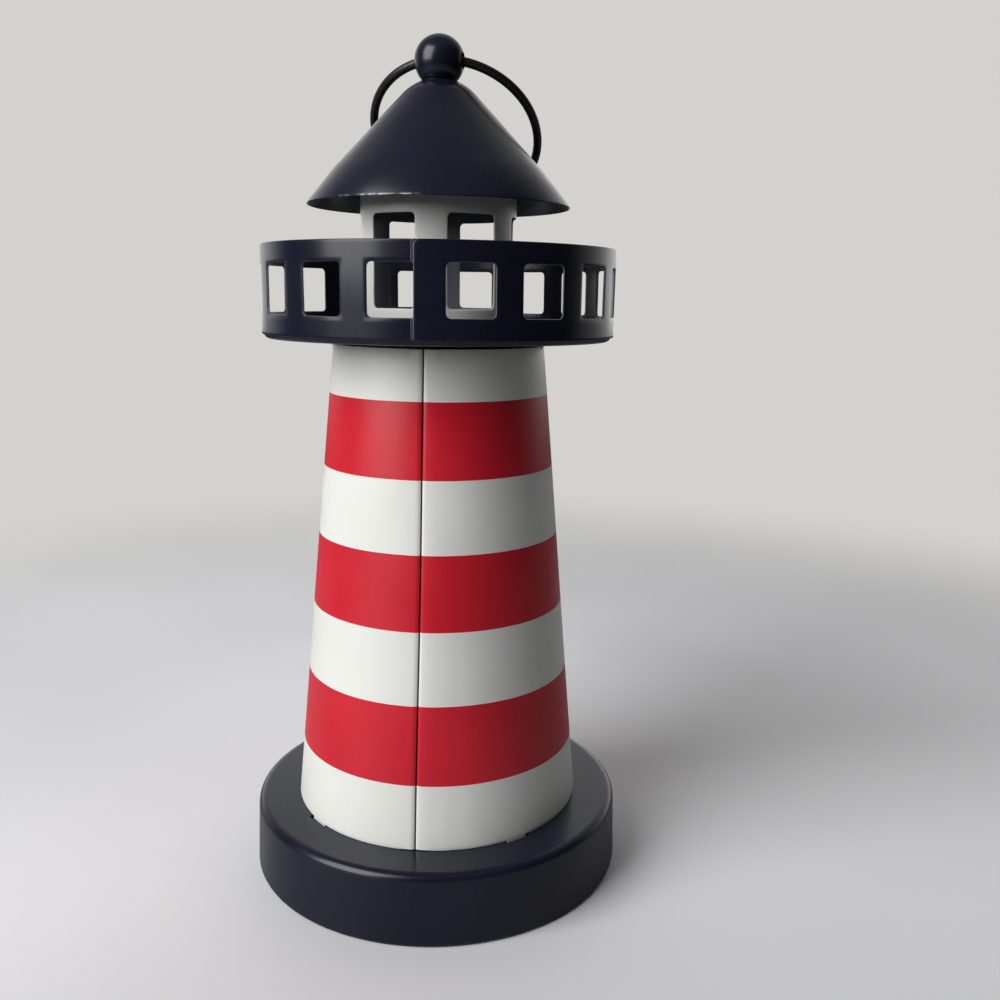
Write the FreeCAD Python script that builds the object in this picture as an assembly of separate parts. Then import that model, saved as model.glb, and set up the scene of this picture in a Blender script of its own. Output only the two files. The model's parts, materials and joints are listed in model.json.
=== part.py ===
import FreeCAD, Part
import math
import os

from FreeCAD import Vector

# A striped lighthouse lantern for a tealight, made of painted sheet steel.
# Millimetres, +Z up. The origin is the centre of the foot, on the ground.
# The front is -Y. An azimuth is measured about Z from the front, positive towards +X.

# ---------------------------------------------------------------- driving sizes

# Sheet and general fits
SHEET = 0.5
BEND_INSIDE = 0.6
FIT_GAP = 0.05
SLOT_GAP_FLAT = 0.3
SLOT_GAP_SIDE = 1.0

# Base pan: a pressed dish, upside down, with its edge turned in at the ground
BASE_SHEET = 0.6
BASE_RADIUS = 54.5
BASE_HEIGHT = 20.4
BASE_DRAFT = 0.7
BASE_SHOULDER_INSIDE = 1.7
BASE_HEM = 3.0

# Tower: a rolled cone with a folded seam inside and a groove outside
TOWER_BOTTOM_RADIUS = 41.8
TOWER_TOP_RADIUS = 29.6
TOWER_HEIGHT = 133.1
SEAM_AZIMUTH = -7.6
SEAM_GROOVE_WIDTH = 0.9
SEAM_GROOVE_DEPTH = 0.3
SEAM_FOLD_WIDTH = 7.0
SEAM_FOLD_DEPTH = 1.0
SEAM_FOLD_CLEARANCE = 1.5

# Tabs that hold the tower to the base and to the gallery
TAB_CENTRE_AZIMUTH = -11.2
TAB_SPREAD = 42.5
TOP_TABS = 3
TAB_WIDTH = 6.0
TAB_ROOT = 0.5
TAB_LEG = 4.5
SHOULDER_WIDTH = 10.0

# Gallery: a shallow pressed floor, and a rolled band with windows round it
GALLERY_GAP = 1.5
GALLERY_RADIUS = 49.0
FLOOR_RIM_HEIGHT = 5.2
FLOOR_EDGE_BEND = 0.8
PLATEAU_GAP = 1.5
PLATEAU_DROP = 2.0
BAND_LIFT = 1.1
BAND_HEIGHT = 23.6
BAND_LAP_AZIMUTH = -6.7
BAND_LAP = 7.6
BAND_LAP_CORNER = 1.4
BAND_WINDOWS = 16
BAND_WINDOW_AZIMUTH = 8.9
BAND_WINDOW_WIDTH = 12.0
BAND_WINDOW_HEIGHT = 12.9
BAND_WINDOW_SILL = 5.5
WELD_DIMPLE_RADIUS = 0.8
WELD_DIMPLE_DEPTH = 0.2
WELD_DIMPLE_AZIMUTH = -3.3
WELD_DIMPLE_HEIGHT = 2.0

# Lantern room: a rolled cylinder with tall windows
ROOM_RADIUS = 21.5
ROOM_HEIGHT = 53.0
ROOM_LAP_AZIMUTH = 174.6
ROOM_LAP = 4.8
ROOM_WINDOWS = 6
ROOM_WINDOW_AZIMUTH = 26.6
ROOM_WINDOW_WIDTH = 13.9
ROOM_WINDOW_HEIGHT = 24.4
ROOM_WINDOW_SILL = 9.9
ROOM_TABS = 3
WINDOW_CORNER = 1.2

# Roof: a pressed cone with a rounded top and a steeper edge, and a locating ring inside it
ROOF_RADIUS = 36.1
ROOF_LIP_SLANT = 11.3
ROOF_LIP_SLOPE = 51.2
ROOF_LIP_BEND = 30.0
ROOF_SLOPE = 46.9
ROOF_DOME_RADIUS = 14.0
ROOF_SEAT_GAP = 0.15
NECK_RADIUS = 4.8
NECK_LAND = 0.25
COLLAR_GAP = 1.5
COLLAR_DEPTH = 6.0
COLLAR_FLANGE = 4.5

# Finial ball on the roof, with its screw and washer
BALL_RADIUS = 6.85
BALL_SINK = 2.5
SCREW_RADIUS = 1.5
SCREW_HEAD_RADIUS = 2.8
SCREW_HEAD_HEIGHT = 2.0
SCREW_TIP_GAP = 0.5
SCREW_CROSS_LENGTH = 3.2
SCREW_CROSS_WIDTH = 0.7
SCREW_CROSS_DEPTH = 1.2
WASHER_RADIUS = 8.0
WASHER_HOLE_GAP = 0.2
WASHER_THICKNESS = 1.0

# Ring handle through the ball
RING_RADIUS = 23.8
WIRE_RADIUS = 1.22
RING_TWIST = 16.0
RING_PLAY = 0.4
RING_REST_GAP = 0.1
RING_JOINT_GAP = 0.25

# ---------------------------------------------------------------- sizes that follow

AXIS = Vector(0, 0, 1)
CENTRE = Vector(0, 0, 0)
TINY = 1e-6


def tangent(degrees):
    return math.tan(math.radians(degrees))


def circle_height(radius, half_chord):
    """Distance from a circle's centre to a chord of this half length."""
    return math.sqrt(radius ** 2 - half_chord ** 2)


def base_tab_azimuths():
    """The tabs through the base stand two by two, about the front and the back."""
    return [TAB_CENTRE_AZIMUTH + turn + side * TAB_SPREAD for turn in (0, 180) for side in (-1, 1)]


def top_tab_azimuths():
    """The tabs through the gallery floor are spread evenly round from the seam, which has none."""
    return [SEAM_AZIMUTH + 360 * i / (TOP_TABS + 1) for i in range(1, TOP_TABS + 1)]


TOWER_TAPER = (TOWER_BOTTOM_RADIUS - TOWER_TOP_RADIUS) / TOWER_HEIGHT
TOWER_LEAN = math.degrees(math.atan(TOWER_TAPER))
TOWER_WALL = SHEET / math.cos(math.radians(TOWER_LEAN))
TOWER_TOP = BASE_HEIGHT + TOWER_HEIGHT
BASE_TAB_AZIMUTHS = base_tab_azimuths()
TOP_TAB_AZIMUTHS = top_tab_azimuths()

FLOOR_UNDER = TOWER_TOP + GALLERY_GAP
FLOOR_TOP = FLOOR_UNDER + SHEET
BAND_BOTTOM = FLOOR_UNDER + BAND_LIFT
FLOOR_RADIUS = GALLERY_RADIUS - 1.5 * SHEET - FIT_GAP
PLATEAU_RADIUS = TOWER_TOP_RADIUS - SHEET - PLATEAU_GAP
PLATEAU_UNDER = FLOOR_UNDER - PLATEAU_DROP
PLATEAU_TOP = PLATEAU_UNDER + SHEET

ROOM_BOTTOM = PLATEAU_TOP
ROOM_TOP = ROOM_BOTTOM + ROOM_HEIGHT
ROOM_OUTER = ROOM_RADIUS + SHEET / 2
ROOM_INNER = ROOM_RADIUS - 1.5 * SHEET

# The roof's skin, from the rim at height 0 up to the axis
LIP_RUN = ROOF_LIP_SLANT * math.cos(math.radians(ROOF_LIP_SLOPE))
LIP_RISE = ROOF_LIP_SLANT * math.sin(math.radians(ROOF_LIP_SLOPE))
CONE_FOOT_RADIUS = ROOF_RADIUS - LIP_RUN
DOME_CORNER_RADIUS = ROOF_DOME_RADIUS * tangent(ROOF_SLOPE / 2)
APEX_RISE = LIP_RISE + (CONE_FOOT_RADIUS - DOME_CORNER_RADIUS) * tangent(ROOF_SLOPE)
SHEET_DROP = SHEET / math.cos(math.radians(ROOF_SLOPE))


def cone_rise(radius):
    """Height of the roof's main slope above the rim, at this radius."""
    return LIP_RISE + (CONE_FOOT_RADIUS - radius) * tangent(ROOF_SLOPE)


# The roof's inside rests on the top edge of the lantern room
ROOF_RIM = ROOM_TOP + ROOF_SEAT_GAP + SHEET_DROP - cone_rise(ROOM_OUTER)
ROOF_APEX = ROOF_RIM + APEX_RISE
DOME_CENTRE = ROOF_APEX - ROOF_DOME_RADIUS

BALL_CENTRE = ROOF_APEX - BALL_SINK + BALL_RADIUS
NECK_TOP = BALL_CENTRE - circle_height(BALL_RADIUS, NECK_RADIUS - NECK_LAND)
WASHER_TOP = DOME_CENTRE + circle_height(ROOF_DOME_RADIUS - SHEET, WASHER_RADIUS) - FIT_GAP
WASHER_UNDER = WASHER_TOP - WASHER_THICKNESS

# The wire bows inside the straight cross hole, so the hole's axis halves the bow
WIRE_BOW = (RING_RADIUS - circle_height(RING_RADIUS, BALL_RADIUS)) / 2
CROSS_HOLE_RADIUS = WIRE_RADIUS + WIRE_BOW + RING_PLAY
SCREW_TIP = BALL_CENTRE - CROSS_HOLE_RADIUS - SCREW_TIP_GAP
RING_REACH = 2 * RING_RADIUS - WIRE_BOW


def rest_lean(rim_radius, rim_height, slope):
    """Lean of the ring from straight down when its far side lies on a slope through this point."""
    angle = math.radians(slope)
    lift = WIRE_RADIUS + RING_REST_GAP
    level = lift + rim_radius * math.sin(angle) - (BALL_CENTRE - rim_height) * math.cos(angle)
    return math.degrees(math.acos(-level / RING_REACH)) - slope


RING_LEAN = min(
    rest_lean(ROOF_RADIUS, ROOF_RIM, ROOF_LIP_SLOPE),
    rest_lean(CONE_FOOT_RADIUS, ROOF_RIM + LIP_RISE, ROOF_SLOPE),
)

# ---------------------------------------------------------------- shared ways of making


def at_azimuth(shape, azimuth):
    """Turn a shape made on the +X side round to an azimuth."""
    placed = shape.copy()
    placed.rotate(CENTRE, AXIS, azimuth - 90)
    return placed


def ring_of(shape, azimuths):
    """Copies of a +X shape at each azimuth."""
    return [at_azimuth(shape, azimuth) for azimuth in azimuths]


def disc(radius, bottom, top, hole=0.0):
    solid = Part.makeCylinder(radius, top - bottom, Vector(0, 0, bottom))
    if hole > 0:
        solid = solid.cut(Part.makeCylinder(hole, top - bottom, Vector(0, 0, bottom)))
    return solid


def block(x_range, width, z_range):
    """A box across the +X axis: radial range, width across it, and height range."""
    corner = Vector(x_range[0], -width / 2, z_range[0])
    return Part.makeBox(x_range[1] - x_range[0], width, z_range[1] - z_range[0], corner)


def rounded_opening(width, height, corner, sill, reach):
    """A rounded rectangular cutter that runs out along +X from the axis."""
    half = width / 2
    radius = min(corner, 0.49 * width, 0.49 * height)
    path = [(-half, sill), (half, sill), (half, sill + height), (-half, sill + height)]
    points = [Vector(0, y, z) for y, z in path]
    box = Part.Face(Part.makePolygon(points + points[:1])).extrude(Vector(reach, 0, 0))
    long_edges = [edge for edge in box.Edges if edge.BoundBox.XLength > reach / 2]
    return box.makeFillet(radius, long_edges)


def offset_corners(corners, thickness):
    """Corners of the line that lies a thickness to the left of the given line."""
    normals = []
    for start, end in zip(corners, corners[1:]):
        along = (end - start).normalize()
        normals.append(Vector(-along.z, 0, along.x))
    shifted = [corners[0] + normals[0] * thickness]
    for corner, before, after in zip(corners[1:], normals, normals[1:]):
        shifted.append(corner + (before + after) * (thickness / (1 + before.dot(after))))
    shifted.append(corners[-1] + normals[-1] * thickness)
    return shifted


def bent_line(corners, radii):
    """Edges of a line through these corners, each inner corner rounded with its radius."""
    edges = []
    here = corners[0]
    for before, corner, after, radius in zip(corners, corners[1:], corners[2:], radii):
        into = (corner - before).normalize()
        out = (after - corner).normalize()
        turn = into.getAngle(out)
        run = radius * math.tan(turn / 2)
        start = corner - into * run
        end = corner + out * run
        to_centre = (out - into).normalize()
        centre = corner + to_centre * (radius / math.cos(turn / 2))
        if here.distanceToPoint(start) > TINY:
            edges.append(Part.LineSegment(here, start).toShape())
        edges.append(Part.Arc(start, centre - to_centre * radius, end).toShape())
        here = end
    if here.distanceToPoint(corners[-1]) > TINY:
        edges.append(Part.LineSegment(here, corners[-1]).toShape())
    return edges


def sheet_section(corners, bends, thickness):
    """Section of a bent sheet in the XZ plane. The line is one skin, and the sheet lies to
    its left. Each bend is the radius on the inside of that bend."""
    line = [Vector(x, 0, z) for x, z in corners]
    skin_radii = []
    back_radii = []
    for before, corner, after, bend in zip(line, line[1:], line[2:], bends):
        into = corner - before
        out = after - corner
        turns_left = into.x * out.z - into.z * out.x > 0
        skin_radii.append(bend + thickness if turns_left else bend)
        back_radii.append(bend if turns_left else bend + thickness)
    back_line = offset_corners(line, thickness)
    skin = bent_line(line, skin_radii)
    back = bent_line(back_line, back_radii)
    caps = [
        Part.LineSegment(skin[0].Vertexes[0].Point, back[0].Vertexes[0].Point).toShape(),
        Part.LineSegment(skin[-1].Vertexes[-1].Point, back[-1].Vertexes[-1].Point).toShape(),
    ]
    return Part.Face(Part.Wire(Part.__sortEdges__(skin + back + caps)))


def turned(section):
    return section.revolve(CENTRE, AXIS, 360)


def bent_tab(corners, bend, width):
    """A strip of sheet bent along these corners, lying across the +X axis."""
    section = sheet_section(corners, [bend], SHEET)
    section.translate(Vector(0, -width / 2, 0))
    return section.extrude(Vector(0, width, 0))


def spiral_face(start_radius, turn):
    """A round outline in two half turns that ends one sheet inside its start."""
    middle = start_radius - SHEET / 2
    end = start_radius - SHEET
    quarter = SHEET / 4
    first = Part.Arc(
        Vector(start_radius, 0, 0),
        Vector(quarter, middle + quarter, 0),
        Vector(-middle, 0, 0),
    )
    second = Part.Arc(
        Vector(-middle, 0, 0),
        Vector(-quarter, -end - quarter, 0),
        Vector(end, 0, 0),
    )
    step = Part.LineSegment(Vector(end, 0, 0), Vector(start_radius, 0, 0))
    face = Part.Face(Part.Wire([first.toShape(), second.toShape(), step.toShape()]))
    face.rotate(CENTRE, AXIS, turn)
    return face


def rolled_band(radius, lap, bottom, height):
    """A strip rolled round, its free end at +X lapped by an angle over its start and welded."""
    start = radius + SHEET / 2
    lap_angle = math.degrees(lap / radius)
    height_vector = Vector(0, 0, height)
    outside = spiral_face(start, 0).extrude(height_vector)
    inside = spiral_face(start - SHEET, lap_angle).extrude(height_vector)
    band = outside.cut(inside)
    band.translate(Vector(0, 0, bottom))
    return band


def band_inner_radius(radius, lap, azimuth_from_lap):
    """Radius of a rolled band's inner skin at an azimuth measured from its free end."""
    turn = math.radians((azimuth_from_lap - math.degrees(lap / radius)) % 360)
    start = radius - SHEET / 2
    quarter = SHEET / 4
    middle = start - SHEET / 2
    first_half = turn <= math.pi
    centre = quarter if first_half else -quarter
    arc = middle + quarter if first_half else middle - quarter
    return centre * math.cos(turn) + math.sqrt(arc ** 2 - (centre * math.sin(turn)) ** 2)


def save(shape, name):
    """Write one sub-part, as one clean solid."""
    solid = shape.removeSplitter()
    solid.exportStep(os.path.join("parts", name + ".step"))
    print("%-16s solids %d  valid %s  volume %9.1f" % (
        name, len(solid.Solids), solid.isValid(), solid.Volume))


# ---------------------------------------------------------------- base and tower


def base_pan():
    """The dish, with a slot for each tab of the tower."""
    section = sheet_section(
        [
            (BASE_RADIUS - BASE_HEM, 0),
            (BASE_RADIUS, 0),
            (BASE_RADIUS - BASE_DRAFT, BASE_HEIGHT),
            (0, BASE_HEIGHT),
        ],
        [BEND_INSIDE, BASE_SHOULDER_INSIDE],
        BASE_SHEET,
    )
    slot = block(
        (TOWER_BOTTOM_RADIUS - SHEET - SLOT_GAP_FLAT, TOWER_BOTTOM_RADIUS + SLOT_GAP_FLAT + SHEET),
        TAB_WIDTH + 2 * SLOT_GAP_SIDE,
        (BASE_HEIGHT - 2 * BASE_SHEET, BASE_HEIGHT + BASE_SHEET),
    )
    return turned(section).cut(ring_of(slot, BASE_TAB_AZIMUTHS))


def along_tower_wall(depth_range, width, height_range):
    """A straight bar in the tower's wall, depths measured inwards from its outer skin."""
    bar = block((-depth_range[1], -depth_range[0]), width, height_range)
    bar.rotate(CENTRE, Vector(0, 1, 0), -TOWER_LEAN)
    bar.translate(Vector(TOWER_BOTTOM_RADIUS, 0, BASE_HEIGHT))
    return bar


def tower_shell():
    """The cone, its folded seam, and the tabs bent under the base and over the gallery."""
    slant = TOWER_HEIGHT / math.cos(math.radians(TOWER_LEAN))
    outer = Part.makeCone(TOWER_BOTTOM_RADIUS, TOWER_TOP_RADIUS, TOWER_HEIGHT, Vector(0, 0, BASE_HEIGHT))
    inner = Part.makeCone(
        TOWER_BOTTOM_RADIUS - TOWER_WALL,
        TOWER_TOP_RADIUS - TOWER_WALL,
        TOWER_HEIGHT,
        Vector(0, 0, BASE_HEIGHT),
    )
    fold = along_tower_wall(
        (SHEET / 2, SHEET + SEAM_FOLD_DEPTH),
        SEAM_FOLD_WIDTH,
        (SEAM_FOLD_CLEARANCE, slant - SEAM_FOLD_CLEARANCE - PLATEAU_DROP),
    )
    groove = along_tower_wall((-SHEET, SEAM_GROOVE_DEPTH), SEAM_GROOVE_WIDTH, (-SHEET, slant + SHEET))
    wall = outer.cut(inner)
    wall = wall.fuse(at_azimuth(fold, SEAM_AZIMUTH)).cut(at_azimuth(groove, SEAM_AZIMUTH))

    leg_under = BASE_HEIGHT - BASE_SHEET - FIT_GAP - SHEET
    bottom_tab = bent_tab(
        [
            (TOWER_BOTTOM_RADIUS - TAB_LEG, leg_under),
            (TOWER_BOTTOM_RADIUS, leg_under),
            (TOWER_BOTTOM_RADIUS, BASE_HEIGHT + TAB_ROOT),
        ],
        SHEET / 2,
        TAB_WIDTH,
    )
    inner_top = TOWER_TOP_RADIUS - SHEET
    leg_top = FLOOR_TOP + FIT_GAP + SHEET
    top_tab = bent_tab(
        [
            (inner_top + TAB_LEG, leg_top),
            (inner_top, leg_top),
            (inner_top, TOWER_TOP - TAB_ROOT),
        ],
        SHEET / 2,
        TAB_WIDTH,
    )
    shoulder = block((inner_top, TOWER_TOP_RADIUS), SHOULDER_WIDTH, (TOWER_TOP - TAB_ROOT, FLOOR_UNDER))
    tabs = ring_of(bottom_tab, BASE_TAB_AZIMUTHS)
    for piece in (top_tab, shoulder):
        tabs += ring_of(piece, TOP_TAB_AZIMUTHS)
    return wall.fuse(tabs)


# ---------------------------------------------------------------- gallery and lantern room


def room_tab_azimuths():
    """The lantern room's tabs hang from every second pillar between its windows."""
    first = ROOM_WINDOW_AZIMUTH + 180 / ROOM_WINDOWS
    return [first + 360 * i / ROOM_TABS for i in range(ROOM_TABS)]


def room_tab_radius(azimuth):
    """The lantern room's inner radius at a tab."""
    return band_inner_radius(ROOM_RADIUS, ROOM_LAP, azimuth - ROOM_LAP_AZIMUTH)


def gallery_floor():
    """A shallow dish whose middle is pressed down into the mouth of the tower."""
    section = sheet_section(
        [
            (0, PLATEAU_UNDER),
            (PLATEAU_RADIUS, PLATEAU_UNDER),
            (PLATEAU_RADIUS, FLOOR_UNDER),
            (FLOOR_RADIUS, FLOOR_UNDER),
            (FLOOR_RADIUS, FLOOR_UNDER + FLOOR_RIM_HEIGHT),
        ],
        [SHEET / 2, SHEET / 2, FLOOR_EDGE_BEND],
        SHEET,
    )
    tower_slot = block(
        (TOWER_TOP_RADIUS - SHEET - SLOT_GAP_FLAT, TOWER_TOP_RADIUS + SLOT_GAP_FLAT),
        TAB_WIDTH + SLOT_GAP_SIDE,
        (FLOOR_UNDER - SHEET, FLOOR_TOP + SHEET),
    )
    slots = ring_of(tower_slot, TOP_TAB_AZIMUTHS)
    for azimuth in room_tab_azimuths():
        wall = room_tab_radius(azimuth)
        room_slot = block(
            (wall - SLOT_GAP_FLAT, wall + SHEET + SLOT_GAP_FLAT),
            TAB_WIDTH + SLOT_GAP_SIDE,
            (PLATEAU_UNDER - SHEET, PLATEAU_TOP + SHEET),
        )
        slots.append(at_azimuth(room_slot, azimuth))
    return turned(section).cut(slots)


def lap_corner(bottom, side):
    """Waste cut from a corner of the band's free end to round it, outer layer only."""
    corner_z = bottom if side < 0 else bottom + BAND_HEIGHT
    centre_z = corner_z - side * BAND_LAP_CORNER
    skin = GALLERY_RADIUS - SHEET / 2
    low = min(corner_z, centre_z)
    waste = Part.makeBox(SHEET * 2, BAND_LAP_CORNER, BAND_LAP_CORNER, Vector(skin, 0, low))
    keep = Part.makeCylinder(
        BAND_LAP_CORNER,
        SHEET * 4,
        Vector(skin - SHEET, BAND_LAP_CORNER, centre_z),
        Vector(1, 0, 0),
    )
    return waste.cut(keep)


def gallery_railing():
    """The windowed band, welded to the floor's rim, with its lap at the front."""
    band = rolled_band(GALLERY_RADIUS, BAND_LAP, BAND_BOTTOM, BAND_HEIGHT)
    band = band.cut([lap_corner(BAND_BOTTOM, -1), lap_corner(BAND_BOTTOM, 1)])
    band = at_azimuth(band, BAND_LAP_AZIMUTH)
    window = rounded_opening(
        BAND_WINDOW_WIDTH,
        BAND_WINDOW_HEIGHT,
        WINDOW_CORNER,
        BAND_BOTTOM + BAND_WINDOW_SILL,
        GALLERY_RADIUS + 2 * SHEET,
    )
    azimuths = [BAND_WINDOW_AZIMUTH + 360 * i / BAND_WINDOWS for i in range(BAND_WINDOWS)]
    dimple = Part.makeSphere(
        WELD_DIMPLE_RADIUS,
        Vector(
            GALLERY_RADIUS + SHEET / 2 + WELD_DIMPLE_RADIUS - WELD_DIMPLE_DEPTH,
            0,
            BAND_BOTTOM + WELD_DIMPLE_HEIGHT,
        ),
    )
    return band.cut(ring_of(window, azimuths) + [at_azimuth(dimple, WELD_DIMPLE_AZIMUTH)])


def lantern_room():
    """The windowed cylinder, with three tabs bent under the gallery floor."""
    band = rolled_band(ROOM_RADIUS, ROOM_LAP, ROOM_BOTTOM, ROOM_HEIGHT)
    room = at_azimuth(band, ROOM_LAP_AZIMUTH)
    window = rounded_opening(
        ROOM_WINDOW_WIDTH,
        ROOM_WINDOW_HEIGHT,
        WINDOW_CORNER,
        ROOM_BOTTOM + ROOM_WINDOW_SILL,
        ROOM_RADIUS + 2 * SHEET,
    )
    azimuths = [ROOM_WINDOW_AZIMUTH + 360 * i / ROOM_WINDOWS for i in range(ROOM_WINDOWS)]
    room = room.cut(ring_of(window, azimuths))
    leg_under = PLATEAU_UNDER - FIT_GAP - SHEET
    tabs = []
    for azimuth in room_tab_azimuths():
        outer = room_tab_radius(azimuth) + SHEET
        tab = bent_tab(
            [
                (outer - TAB_LEG, leg_under),
                (outer, leg_under),
                (outer, ROOM_BOTTOM + TAB_ROOT),
            ],
            SHEET / 2,
            TAB_WIDTH,
        )
        tabs.append(at_azimuth(tab, azimuth))
    return room.fuse(tabs)


# ---------------------------------------------------------------- roof


def roof_cone():
    """The pressed cone, with a short neck turned up round the ball's seat."""
    section = sheet_section(
        [
            (ROOF_RADIUS, ROOF_RIM),
            (CONE_FOOT_RADIUS, ROOF_RIM + LIP_RISE),
            (DOME_CORNER_RADIUS, ROOF_APEX),
            (0, ROOF_APEX),
        ],
        [ROOF_LIP_BEND, ROOF_DOME_RADIUS - SHEET],
        SHEET,
    )
    neck_inner = NECK_RADIUS - SHEET
    shell = turned(section)
    neck_foot = DOME_CENTRE + circle_height(ROOF_DOME_RADIUS - SHEET / 2, NECK_RADIUS)
    neck = disc(NECK_RADIUS, neck_foot, NECK_TOP)
    hole = Part.makeCylinder(neck_inner, 2 * ROOF_DOME_RADIUS, Vector(0, 0, DOME_CENTRE))
    ball_seat = Part.makeSphere(BALL_RADIUS + FIT_GAP, Vector(0, 0, BALL_CENTRE))
    return shell.fuse(neck).cut([hole, ball_seat])


def roof_collar():
    """The ring inside the roof that locates it in the lantern room, welded by its flange."""
    radius = ROOM_INNER - COLLAR_GAP
    corner = ROOF_RIM + cone_rise(radius) - SHEET_DROP - FIT_GAP
    flange_run = COLLAR_FLANGE * math.cos(math.radians(ROOF_SLOPE))
    flange_rise = COLLAR_FLANGE * math.sin(math.radians(ROOF_SLOPE))
    section = sheet_section(
        [
            (radius, ROOM_TOP - COLLAR_DEPTH),
            (radius, corner),
            (radius - flange_run, corner + flange_rise),
        ],
        [SHEET],
        SHEET,
    )
    return turned(section)


def finial_washer():
    return disc(WASHER_RADIUS, WASHER_UNDER, WASHER_TOP, SCREW_RADIUS + WASHER_HOLE_GAP)


def finial_screw():
    """A pan head screw with a cross recess, up through the washer into the ball."""
    head_under = WASHER_UNDER - SCREW_HEAD_HEIGHT
    head = disc(SCREW_HEAD_RADIUS, head_under, WASHER_UNDER)
    rim = [edge for edge in head.Edges if edge.Closed and edge.BoundBox.ZMax < head_under + TINY]
    head = head.makeFillet(SCREW_HEAD_HEIGHT / 2, rim)
    shank = disc(SCREW_RADIUS, WASHER_UNDER, SCREW_TIP)
    point = [edge for edge in shank.Edges if edge.Closed and edge.BoundBox.ZMin > SCREW_TIP - TINY]
    shank = shank.makeChamfer(SCREW_RADIUS / 3, point)
    arm_x = Part.makeBox(SCREW_CROSS_LENGTH, SCREW_CROSS_WIDTH, SCREW_CROSS_DEPTH)
    arm_x.translate(Vector(-SCREW_CROSS_LENGTH / 2, -SCREW_CROSS_WIDTH / 2, head_under))
    arm_y = arm_x.copy()
    arm_y.rotate(CENTRE, AXIS, 90)
    return head.fuse(shank).cut([arm_x, arm_y])


def swing_axis():
    """The line of the ball's cross hole, turned a little from left to right."""
    twist = math.radians(RING_TWIST)
    return Vector(math.cos(twist), -math.sin(twist), 0)


def finial_ball():
    """The ball, with the ring's hole across it and the screw's hole up into it."""
    centre = Vector(0, 0, BALL_CENTRE)
    ball = Part.makeSphere(BALL_RADIUS, centre)
    along = swing_axis()
    cross_hole = Part.makeCylinder(
        CROSS_HOLE_RADIUS, 4 * BALL_RADIUS, centre - along * (2 * BALL_RADIUS), along)
    screw_hole = Part.makeCylinder(
        SCREW_RADIUS + FIT_GAP, BALL_RADIUS, Vector(0, 0, SCREW_TIP + FIT_GAP - BALL_RADIUS))
    return ball.cut([cross_hole, screw_hole])


def handle_ring():
    """The wire ring through the ball, lying back on the roof, its ends meeting at the far side."""
    ring = Part.makeTorus(RING_RADIUS, WIRE_RADIUS)
    joint = Part.makeBox(
        4 * WIRE_RADIUS,
        RING_JOINT_GAP,
        4 * WIRE_RADIUS,
        Vector(RING_RADIUS - 2 * WIRE_RADIUS, -RING_JOINT_GAP / 2, -2 * WIRE_RADIUS),
    )
    ring = ring.cut(joint)
    ring.translate(Vector(RING_RADIUS - WIRE_BOW, 0, 0))
    # The far side now points along +X. Lean it down from level, then turn it to the back.
    ring.rotate(CENTRE, Vector(0, 1, 0), 90 - RING_LEAN)
    ring.rotate(CENTRE, AXIS, 90 - RING_TWIST)
    ring.translate(Vector(0, 0, BALL_CENTRE))
    return ring


# ---------------------------------------------------------------- the assembly

SUB_PARTS = [
    base_pan,
    tower_shell,
    gallery_floor,
    gallery_railing,
    lantern_room,
    roof_cone,
    roof_collar,
    finial_washer,
    finial_screw,
    finial_ball,
    handle_ring,
]


def main():
    os.makedirs("parts", exist_ok=True)
    for make in SUB_PARTS:
        save(make(), make.__name__)
    print("ball centre z %.3f, ring lean %.2f, swing to %.1f degrees, roof rim z %.2f, total %.2f" % (
        BALL_CENTRE, RING_LEAN, 360 - 2 * RING_LEAN, ROOF_RIM, BALL_CENTRE + BALL_RADIUS))


main()
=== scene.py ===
import json
import math

import bmesh
import bpy
from mathutils import Matrix, Vector

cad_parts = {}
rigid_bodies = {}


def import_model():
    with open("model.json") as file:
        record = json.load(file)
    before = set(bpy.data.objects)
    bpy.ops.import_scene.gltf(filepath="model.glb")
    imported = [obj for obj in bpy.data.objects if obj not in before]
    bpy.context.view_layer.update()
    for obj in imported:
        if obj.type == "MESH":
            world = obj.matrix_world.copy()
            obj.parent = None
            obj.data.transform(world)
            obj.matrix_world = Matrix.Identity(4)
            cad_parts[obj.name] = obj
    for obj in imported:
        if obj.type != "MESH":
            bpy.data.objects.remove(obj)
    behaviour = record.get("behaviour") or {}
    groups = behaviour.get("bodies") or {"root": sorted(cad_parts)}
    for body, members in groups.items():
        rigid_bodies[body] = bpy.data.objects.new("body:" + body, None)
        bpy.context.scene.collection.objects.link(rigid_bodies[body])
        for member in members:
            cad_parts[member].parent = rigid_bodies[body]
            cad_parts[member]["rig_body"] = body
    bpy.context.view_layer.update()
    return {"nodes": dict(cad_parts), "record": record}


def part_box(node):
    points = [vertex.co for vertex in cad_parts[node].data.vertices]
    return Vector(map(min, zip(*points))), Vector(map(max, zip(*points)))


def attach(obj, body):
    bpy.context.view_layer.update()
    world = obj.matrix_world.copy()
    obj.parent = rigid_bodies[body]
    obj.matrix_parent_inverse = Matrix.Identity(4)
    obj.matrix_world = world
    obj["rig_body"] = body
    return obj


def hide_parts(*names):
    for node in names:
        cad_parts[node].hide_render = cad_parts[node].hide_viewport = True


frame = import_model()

# A striped sheet-steel lighthouse lantern. Metres here, in the CAD frame: +Z up, the front is -Y.
# Sizes are written in millimetres where they carry MM. An azimuth counts from the front, positive
# towards +X.

MM = 0.001
NODES = frame["nodes"]
SLOTS = {part["node"]: part["material_slot"] for part in frame["record"]["subparts"]}

# ---------------------------------------------------------------- sizes

# The camera, fitted to the photograph. Its focal length is the frame's width.
CAMERA_PLACE = Vector((0, -286.97 * MM, 166.96 * MM))
CAMERA_YAW = math.radians(3.579)
CAMERA_PITCH = math.radians(11.523)
CAMERA_ROLL = math.radians(0.835)
CAMERA_LENS = 36.0
CAMERA_SENSOR = 36.0

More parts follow.
